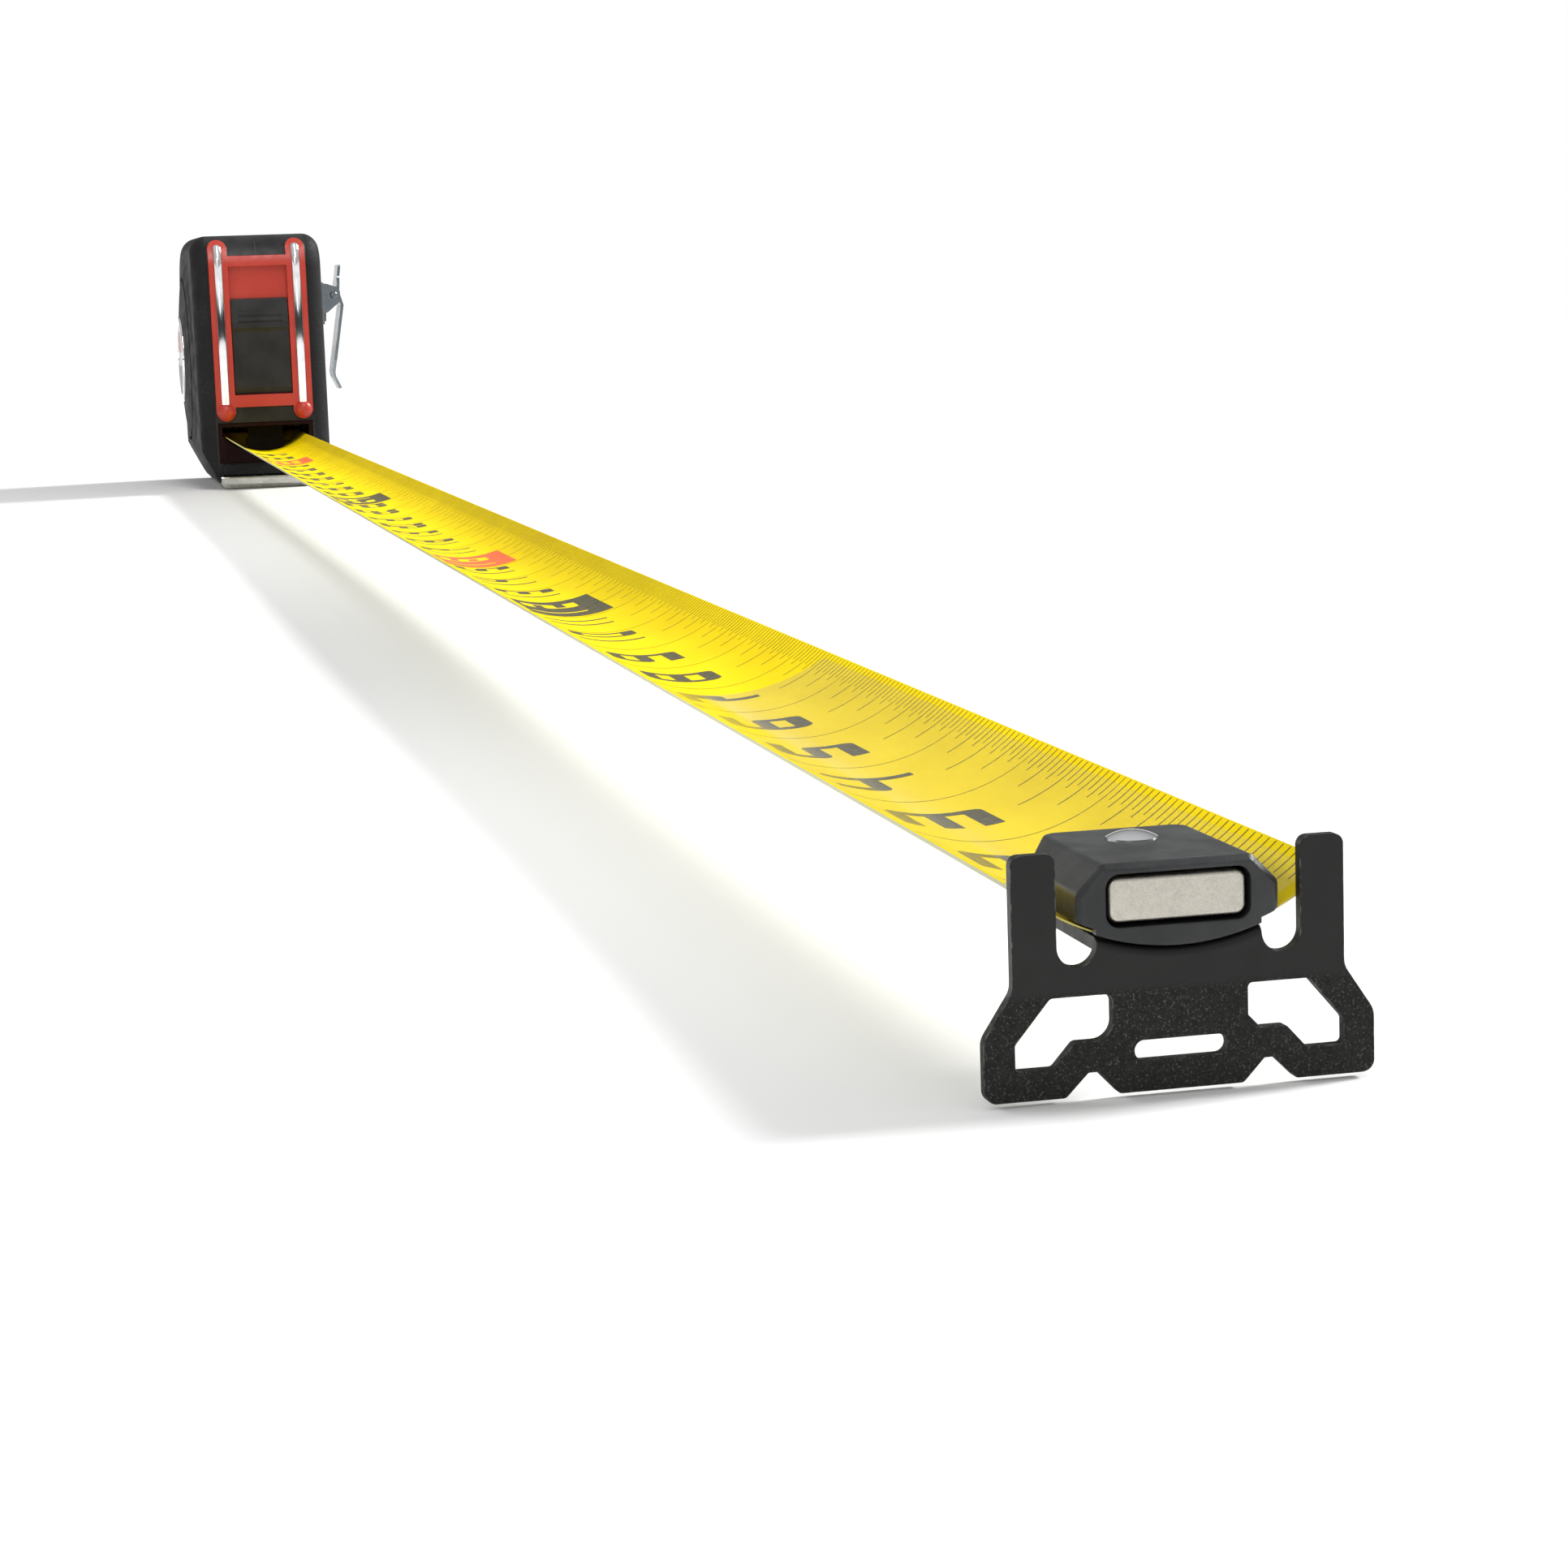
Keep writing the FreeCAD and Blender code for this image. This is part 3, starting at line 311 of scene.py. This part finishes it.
def hook_black():
    """Black coated steel: satin where it is bent, gritty and flecked further down."""
    dark = (0.010, 0.010, 0.0095)
    fleck = (0.13, 0.125, 0.10)
    steel = (0.30, 0.30, 0.29)
    smooth_part = 11.2 * MM                      # from the top of the hook down
    f = Finish("hook_black", dark, 0.5, shine=0.3)
    worn = f.soft_edges(0.16)
    height = f.axis("Z")
    border = hook_high.z - smooth_part
    gritty = f.ramp(height, border + 0.5 * MM, border - 0.2 * MM)
    specks = f.ramp(f.noise(0.17, 3.0), 0.56, 0.70)
    body = f.mix(f.math("MULTIPLY", gritty, f.math("MULTIPLY", specks, 0.55)), dark, fleck)
    rubbed = f.math("MULTIPLY", worn, f.ramp(f.noise(0.9, 4.0), 0.46, 0.64, 0.04, 0.75))
    f.set("Base Color", f.mix(rubbed, body, steel))
    satin = f.drift(2.0, 0.42, 0.52, detail=4.0)
    rough = f.drift(0.4, 0.62, 0.85)
    blended = f.nodes.new("ShaderNodeMix")
    f.link(gritty, blended.inputs["Factor"])
    for number, value in zip(MIX_NUMBERS, (satin, rough)):
        f.link(value, blended.inputs[number])
    f.set("Roughness", blended.outputs[MIXED_NUMBER])
    f.bump(f.noise(0.3, 3.0), 0.004)
    f.bump(f.math("MULTIPLY", gritty, f.noise(0.16, 3.0)), 0.05)
    return f.material


def magnet_nickel():
    """Dull nickel plate with a fine sandy grain."""
    nickel = (0.60, 0.57, 0.50)
    f = Finish("magnet_nickel", nickel, 0.42, metal=1.0)
    f.soft_edges(0.12)
    f.set("Base Color", f.mix(f.drift(0.14, detail=2.0), tarnished(nickel), nickel))
    f.set("Roughness", f.drift(0.5, 0.36, 0.52, detail=4.0))
    f.bump(f.noise(0.12, 2.0), 0.008)
    return f.material


def floor_white():
    """Matt white card, very slightly uneven."""
    white = (0.88, 0.88, 0.88)
    brighter = (0.90, 0.90, 0.90)
    f = Finish("floor_white", white, 0.9, shine=0.0)
    f.set("Base Color", f.mix(f.noise(900.0), white, brighter))
    return f.material


finishes = {
    "black_rubber": black_rubber(),
    "black_abs": moulded("black_abs", (0.008, 0.008, 0.008), (0.04, 0.04, 0.04),
                         roughness=0.42, grain=0.3, depth=0.02, shine=0.25),
    "red_abs": moulded("red_abs", (0.40, 0.024, 0.012), (0.50, 0.055, 0.032),
                       roughness=0.36, grain=0.35, depth=0.012, shine=0.45),
    "maroon_plastic": moulded("maroon_plastic", (0.010, 0.0015, 0.0015), (0.016, 0.004, 0.004),
                              roughness=0.6, grain=0.4, depth=0.02, shine=0.1),
    "chrome": polished("chrome", (0.92, 0.93, 0.94), 0.04, (1, 1, 40), 0.0004),
    "foot_steel": polished("foot_steel", (0.58, 0.57, 0.55), 0.22, (14, 1, 1), 0.008),
    "screw_steel": polished("screw_steel", (0.16, 0.16, 0.17), 0.34, (1, 3, 3), 0.01),
    "label_print": label_print(),
    "reel_nylon": moulded("reel_nylon", (0.50, 0.50, 0.47), (0.62, 0.62, 0.60),
                          roughness=0.45, grain=0.5, depth=0.02),
    "bush_brass": polished("bush_brass", (0.70, 0.48, 0.18), 0.28, (1, 8, 8), 0.006),
    "spring_steel": polished("spring_steel", (0.22, 0.25, 0.27), 0.16, (1, 1, 10), 0.003),
    "yellow_blade": yellow_blade(),
    "clear_film": clear_film(),
    "hook_black": hook_black(),
    "housing_black": moulded("housing_black", (0.014, 0.015, 0.016), (0.07, 0.073, 0.075),
                             roughness=0.40, grain=0.22, depth=0.018, edge=0.3, shine=0.45),
    "magnet_nickel": magnet_nickel(),
}
black_ink = ink("black_ink", (0.085, 0.080, 0.045))
fine_ink = ink("fine_ink", (0.20, 0.165, 0.015))
red_ink = ink("red_ink", (0.85, 0.14, 0.05))
# A darker, duller copy of the black plastic: painted shade for the brake parts inside the mouth
mouth_painted_shade = moulded("mouth_painted_shade", (0.003, 0.002, 0.002), (0.006, 0.004, 0.004),
                      roughness=0.7, grain=0.4, depth=0.02, shine=0.08)

for name, node in nodes.items():
    # The brake tongue and pad take the painted-shade copy instead of their own black finish
    in_the_mouth = name in ("brake_tongue", "brake_pad")
    for slot in node.material_slots:
        drawn_as = slot.material.name.split(".")[0]
        slot.material = mouth_painted_shade if in_the_mouth else finishes[drawn_as]


# ---------------------------------------------------------------- mesh helpers

def add_piece(name, mesh, material, body):
    piece = bpy.data.objects.new(name, mesh)
    bpy.context.scene.collection.objects.link(piece)
    mesh.materials.append(material)
    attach(piece, body)
    return piece


def smooth(mesh):
    sharp_angle = 30
    mesh.polygons.foreach_set("use_smooth", [True] * len(mesh.polygons))
    mesh.set_sharp_from_angle(angle=math.radians(sharp_angle))


# ---------------------------------------------------------------- blade and film

def strip_mesh(name, stations, spread, thickness, inner_radius_at, ends):
    """Closed strip swept along Y. ends(x, y) moves a point of the first or last station."""
    across = 48
    bm = bmesh.new()
    rings = []
    for y in stations:
        radius, centre_z = inner_radius_at(y)
        half = spread / 2 / radius
        ring = []
        for lift in (0.0, thickness):
            row = []
            for i in range(across + 1):
                angle = half * (2 * i / across - 1)
                x = (radius + lift) * math.sin(angle)
                z = centre_z - (radius + lift) * math.cos(angle)
                row.append(bm.verts.new((x, ends(x, y), z)))
            ring.append(row)
        rings.append(ring[0] + ring[1][::-1])
    count = len(rings[0])
    for before, after in zip(rings, rings[1:]):
        for i in range(count):
            j = (i + 1) % count
            bm.faces.new((before[i], before[j], after[j], after[i]))
    for ring in (rings[0], rings[-1]):
        for i in range(across):
            bm.faces.new((ring[i], ring[i + 1], ring[count - 2 - i], ring[count - 1 - i]))
    bmesh.ops.recalc_face_normals(bm, faces=bm.faces)
    mesh = bpy.data.meshes.new(name)
    bm.to_mesh(mesh)
    bm.free()
    smooth(mesh)
    return mesh


def steps(start, finish, count):
    return [start + (finish - start) * i / count for i in range(count + 1)]


def make_blade():
    """Run-out blade: rolled trough that flattens inside the case, corners cut at the hook."""
    flatten_start = -20 * MM
    flatten_end = -2 * MM
    flat_radius = 600 * MM
    corner_x = 11.2 * MM
    start = blade_low.y

    def section(y):
        share = min(1, max(0, (y - flatten_start) / (flatten_end - flatten_start)))
        ease = share * share * (3 - 2 * share)
        radius = 1 / ((1 - ease) / blade_radius + ease / flat_radius)
        return radius, edge_z + radius * math.cos(blade_flat / 2 / radius)

    def cut_corner(x, y):
        return max(y, start + abs(x) - corner_x)

    straight = steps(start, flatten_start, 60)
    flattening = steps(flatten_start, flatten_end, 14)
    stations = straight + flattening[1:] + [blade_high.y]
    mesh = strip_mesh("run_out_blade", stations, blade_flat, blade_thick, section, cut_corner)
    blade = add_piece("run_out_blade", mesh, finishes["yellow_blade"], "blade")
    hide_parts("blade")


def make_film():
    """Wear film on the printed face; its inner end is rounded."""
    thickness = 0.06 * MM
    end_radius = 19 * MM
    margin = 1.0 * MM
    start, finish = film_low.y, film_high.y

    def rounded(x, y):
        reach = finish - end_radius + math.sqrt(end_radius ** 2 - x ** 2)
        return start + (reach - start) * (y - start) / (finish - start)

    radius = blade_radius - thickness
    spread = (blade_flat - 2 * margin) * radius / blade_radius
    mesh = strip_mesh("wear_film", steps(start, finish, 24), spread, thickness,
                      lambda y: (radius, arc_z), rounded)
    film = add_piece("wear_film", mesh, finishes["clear_film"], "blade")
    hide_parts("end_film")


make_blade()
make_film()


# ---------------------------------------------------------------- printed scale

first_inch = 2                               # the first one is hidden by the housing
last_inch = 34
digit_height = 9.8 * MM
digit_foot = 3.7 * MM                        # right of the blade's middle
stem_share = 0.185                           # upright strokes' part of a digit's width
seven_stem = (0.4, 0.6)                      # where a seven's stroke stands in its width
beam = 1.95 * MM                             # height of its level strokes
tick_width = 0.18 * MM
hairline = 0.11 * MM
tick_lengths = {1: 2.7 * MM, 2: 3.5 * MM, 4: 5.6 * MM, 8: 7.7 * MM}

# Square-cut digits: the cells that are inked, row by row from the top
glyphs = {
    "0": ("###", "#.#", "#.#", "#.#", "###"),
    "1": ("#", "#", "#", "#", "#"),
    "2": ("###", "..#", "###", "#..", "###"),
    "3": ("###", "..#", "###", "..#", "###"),
    "4": ("#.#", "#.#", "###", "..#", "..#"),
    "5": ("###", "#..", "###", "..#", "###"),
    "6": ("###", "#..", "###", "#.#", "###"),
    "7": ("###", "..#", ".##", ".#.", ".#."),
    "8": ("###", "#.#", "###", "#.#", "###"),
    "9": ("###", "#.#", "###", "..#", "###"),
}


class Print:
    """Flat artwork in (along, across), wrapped onto the blade as a thin layer of ink."""

    def __init__(self, lift=0.0):
        self.bm = bmesh.new()
        self.lift = lift

    def bar(self, along, across):
        corners = [(along[0], across[0]), (along[1], across[0]),
                   (along[1], across[1]), (along[0], across[1])]
        self.bm.faces.new([self.bm.verts.new((a, b, 0)) for a, b in corners])

    def digit(self, text, start, width, foot=digit_foot, height=digit_height):
        """One digit; it reads away from the hook, with its top towards the left edge."""
        rows = glyphs[text]
        gap = (height - 3 * beam) / 2
        drops = (0, beam, beam + gap, 2 * beam + gap, height - beam, height)
        lows = [foot - height + drop for drop in drops]
        stem = stem_share * width
        sides = [start, start + stem, start + width - stem, start + width]
        if text == "7":
            sides = [start, *(start + share * width for share in seven_stem), start + width]
        corners = {}

        def corner(row, column):
            if (row, column) not in corners:
                corners[row, column] = self.bm.verts.new((sides[column], lows[row], 0))
            return corners[row, column]

        for row, cells in enumerate(rows):
            for column, cell in enumerate(cells):
                if cell == "#":
                    self.bm.faces.new([corner(row, column), corner(row, column + 1),
                                       corner(row + 1, column + 1), corner(row + 1, column)])
        self.round_off([v for v in corners.values() if len(v.link_faces) == 1], 0.9 * stem)

    def round_off(self, verts, radius):
        """Rounds outer corners that join two more cells; the ends of strokes stay square."""
        def shared_edges(vert):
            return sum(len(edge.link_faces) == 2 for edge in vert.link_faces[0].edges)

        bends = [vert for vert in verts if shared_edges(vert) == 2]
        bmesh.ops.bevel(self.bm, geom=bends, offset=radius, segments=4, profile=0.5, affect="VERTICES")

    def wrap(self, name, material):
        """Cuts the artwork into narrow lanes, gives it thickness and bends it to the trough."""
        ink_above = 0.03 * MM
        ink_below = 0.02 * MM
        bm = self.bm
        bmesh.ops.remove_doubles(bm, verts=bm.verts, dist=1e-7)
        bmesh.ops.dissolve_limit(bm, angle_limit=0.01, verts=bm.verts, edges=bm.edges)
        lane = 1.0 * MM
        reach = int(blade_flat / 2 / lane)
        for i in range(-reach, reach + 1):
            bmesh.ops.bisect_plane(bm, geom=bm.verts[:] + bm.edges[:] + bm.faces[:],
                                   plane_co=(0, i * lane, 0), plane_no=(0, 1, 0))
        bmesh.ops.triangulate(bm, faces=[face for face in bm.faces if len(face.verts) > 4])
        grown = bmesh.ops.extrude_face_region(bm, geom=bm.faces[:])
        upper = {v for v in grown["geom"] if isinstance(v, bmesh.types.BMVert)}
        for v in bm.verts:
            along, across, _ = v.co
            depth = self.lift + (ink_above if v in upper else -ink_below)
            angle = across / blade_radius
            radius = blade_radius - depth
            v.co = (radius * math.sin(angle), hook_face + along, arc_z - radius * math.cos(angle))
        bmesh.ops.recalc_face_normals(bm, faces=bm.faces)
        mesh = bpy.data.meshes.new(name)
        bm.to_mesh(mesh)
        bm.free()
        return add_piece(name, mesh, material, "blade")


def make_ticks():
    """Sixteenths along the right edge, and a hairline right across at each inch."""
    art = Print()
    per_inch = 16
    beyond_last = 12                             # sixteenths printed after the last number
    margin = 0.15 * MM
    hidden = hook_high.y - hook_face - 14 * MM   # covered by the hook's arm
    edge = blade_flat / 2 - margin
    for i in range(1, last_inch * per_inch + beyond_last):
        along = i * INCH / per_inch
        if along < hidden:
            continue
        if i % per_inch == 0:
            art.bar((along - hairline / 2, along + hairline / 2), (-edge, edge))
            continue
        step = max(size for size in tick_lengths if i % size == 0)
        art.bar((along - tick_width / 2, along + tick_width / 2),
                (edge - tick_lengths[step], edge))
    art.wrap("scale_ticks", fine_ink)


def make_numbers():
    """Inch numbers; every foot and every sixteenth inch has its number in a block."""
    black = Print()
    red = Print()
    reversed_out = Print(lift=0.02 * MM)
    single = 9.2 * MM                            # widths of the digits
    double = 5.2 * MM
    boxed = 6.5 * MM
    double_starts = (-0.53 * INCH, -0.285 * INCH)  # from the inch line, back towards the hook
    boxed_starts = (-18.7 * MM, -10.2 * MM)
    boxed_foot = 3.2 * MM
    boxed_height = 9.0 * MM
    block_along = (-0.94 * INCH, 0.06 * INCH)
    block_across = (-6.6 * MM, 6.4 * MM)
    for inch in range(first_inch, last_inch + 1):
        line = inch * INCH
        text = str(inch)
        if inch % 12 == 0 or inch % 16 == 0:
            block = black if inch % 12 == 0 else red
            block.bar((line + block_along[0], line + block_along[1]), block_across)
            for character, place in zip(text, boxed_starts):
                reversed_out.digit(character, line + place, boxed, boxed_foot, boxed_height)
        elif len(text) > 1:
            for character, place in zip(text, double_starts):
                black.digit(character, line + place, double)
        else:
            black.digit(text, line - INCH / 2 - single / 2, single)
    black.wrap("scale_numbers", black_ink)
    red.wrap("scale_marks_red", red_ink)
    reversed_out.wrap("scale_numbers_reversed", finishes["yellow_blade"])


make_ticks()
make_numbers()


# ---------------------------------------------------------------- floor, lights, camera

def make_floor():
    floor_radius = 2.4
    bm = bmesh.new()
    bmesh.ops.create_circle(bm, cap_ends=True, segments=96, radius=floor_radius)
    mesh = bpy.data.meshes.new("floor")
    bm.to_mesh(mesh)
    bm.free()
    floor = bpy.data.objects.new("floor", mesh)
    bpy.context.scene.collection.objects.link(floor)
    floor.location = (0, cad_box[0].y / 2, cad_box[0].z)
    mesh.materials.append(floor_white())


def add_light(name, place, target, width, height, power):
    lamp = bpy.data.lights.new(name, "AREA")
    lamp.shape = "RECTANGLE"
    lamp.size = width
    lamp.size_y = height
    lamp.energy = power
    light = bpy.data.objects.new(name, lamp)
    bpy.context.scene.collection.objects.link(light)
    direction = Vector(target) - Vector(place)
    light.location = place
    light.rotation_euler = direction.to_track_quat("-Z", "X").to_euler()
    light.visible_camera = False


def add_sun(name, azimuth, elevation, spread, strength):
    """Broad distant light; azimuth is measured from +X towards +Y. Angles in degrees."""
    lamp = bpy.data.lights.new(name, "SUN")
    lamp.angle = math.radians(spread)
    lamp.energy = strength
    light = bpy.data.objects.new(name, lamp)
    bpy.context.scene.collection.objects.link(light)
    turn, rise = math.radians(azimuth), math.radians(elevation)
    towards = Vector((math.cos(turn) * math.cos(rise),
                      math.sin(turn) * math.cos(rise),
                      math.sin(rise)))
    light.rotation_euler = towards.to_track_quat("Z", "Y").to_euler()


def make_world():
    """White surroundings for the camera; a softer room with a dark horizon for everything else."""
    world = bpy.data.worlds.new("studio")
    bpy.context.scene.world = world
    world.use_nodes = True
    tree = world.node_tree
    place = tree.nodes.new("ShaderNodeTexCoord").outputs["Generated"]
    split = tree.nodes.new("ShaderNodeSeparateXYZ")
    tree.links.new(place, split.inputs["Vector"])

    def ramp(stops):
        """Brightness by height: stops are (height of the direction, brightness)."""
        shifted = tree.nodes.new("ShaderNodeMath")
        shifted.operation = "MULTIPLY_ADD"
        shifted.inputs[1].default_value = 0.5
        shifted.inputs[2].default_value = 0.5
        tree.links.new(split.outputs["Z"], shifted.inputs[0])
        node = tree.nodes.new("ShaderNodeValToRGB")
        tree.links.new(shifted.outputs[0], node.inputs["Fac"])
        elements = node.color_ramp.elements
        while len(elements) < len(stops):
            elements.new(0.5)
        for element, (height, level) in zip(elements, stops):
            element.position = height / 2 + 0.5
            element.color = (level, level, level, 1)
        return node.outputs["Color"]

    room = ramp([(-1, 0.6), (-0.06, 0.7), (-0.035, 0.03), (0.022, 0.03),
                 (0.045, 0.95), (0.15, 0.9), (0.22, 0.42), (1, 0.62)])
    backdrop = ramp([(-1, 0.6), (-0.06, 0.9), (0.0, 1.15), (0.05, 1.0), (0.10, 0.48),
                     (0.16, 0.25), (0.25, 0.22), (0.5, 0.42), (1, 0.62)])
    behind = tree.nodes.new("ShaderNodeMapRange")
    behind.interpolation_type = "SMOOTHSTEP"
    behind.inputs["From Min"].default_value = 0.1
    behind.inputs["From Max"].default_value = 0.7
    tree.links.new(split.outputs["Y"], behind.inputs["Value"])
    lit = tree.nodes.new("ShaderNodeMix")
    lit.data_type = "RGBA"
    tree.links.new(behind.outputs["Result"], lit.inputs["Factor"])
    for number, colour in zip(MIX_COLOURS, (room, backdrop)):
        tree.links.new(colour, lit.inputs[number])
    seen = tree.nodes.new("ShaderNodeMix")
    seen.data_type = "RGBA"
    seen.inputs[MIX_COLOURS[1]].default_value = (1, 1, 1, 1)
    to_camera = tree.nodes.new("ShaderNodeLightPath").outputs["Is Camera Ray"]
    tree.links.new(to_camera, seen.inputs["Factor"])
    tree.links.new(lit.outputs[MIXED_COLOUR], seen.inputs[MIX_COLOURS[0]])
    tree.links.new(seen.outputs[MIXED_COLOUR], tree.nodes["Background"].inputs["Color"])


def make_camera():
    """Low camera beyond the hook, looking back along the blade to the case."""
    yaw = math.radians(12.717)
    pitch = math.radians(-8.490)
    roll = math.radians(-1.957)
    forward = Vector((math.sin(yaw) * math.cos(pitch),
                      math.cos(yaw) * math.cos(pitch),
                      math.sin(pitch)))
    level_right = Vector((math.cos(yaw), -math.sin(yaw), 0))
    level_up = level_right.cross(forward)
    right = math.cos(roll) * level_right + math.sin(roll) * level_up
    up = math.cos(roll) * level_up - math.sin(roll) * level_right
    lens = bpy.data.cameras.new("camera")
    lens.sensor_width = 36
    lens.lens = 78.58
    lens.clip_start = 0.01
    camera = bpy.data.objects.new("camera", lens)
    bpy.context.scene.collection.objects.link(camera)
    place = Matrix((right, up, -forward)).transposed().to_4x4()
    place.translation = (-86.2 * MM, -1174.6 * MM, 63.9 * MM)
    camera.matrix_world = place
    bpy.context.scene.camera = camera


make_floor()
make_world()
add_sun("key", azimuth=12, elevation=34.5, spread=14, strength=3.8)
add_light("case_top_light", (0.02, -0.34, 0.42), (0, -0.045, 0.06),
          width=0.30, height=0.12, power=0.9)
add_light("front_fill", (-0.7, -2.0, 0.9), (0, -0.5, 0.03), width=0.8, height=0.6, power=3)
add_light("shade_fill", (-0.16, -0.80, 0.10), (-0.01, -0.80, 0), width=0.05, height=0.25, power=0.24)
make_camera()
bpy.context.scene.view_settings.view_transform = "Standard"
